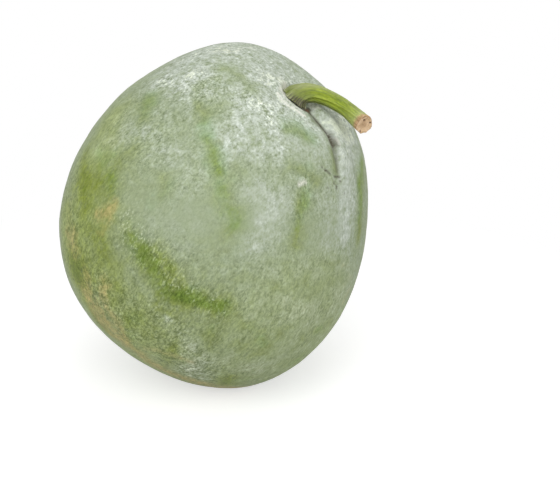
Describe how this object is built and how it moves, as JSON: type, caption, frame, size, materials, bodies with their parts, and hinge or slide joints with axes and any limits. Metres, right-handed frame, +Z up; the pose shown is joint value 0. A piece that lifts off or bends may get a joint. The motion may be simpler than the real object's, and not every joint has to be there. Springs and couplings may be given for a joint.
{
  "type": "white pumpkin",
  "caption": "Whole round wax gourd with a pale waxy green rind, a creased shoulder and a short curved dried-tip stem, resting on its flattened belly.",
  "frame": {"origin": "centre of the bounding box in plan, on the surface that the fruit rests on", "axes": "+Z up; the stem leans towards +X and slightly -Y; the front is seen looking along +Y"},
  "size_m": [0.2532, 0.2506, 0.2788],
  "materials": {
    "rind": "matte pale waxy bloom over mottled green skin",
    "stem": "fibrous ridged green stalk with a dried tan cut end"
  },
  "bodies": {
    "root": {"fruit": "rind", "stem": "stem"}
  },
  "joints": []
}
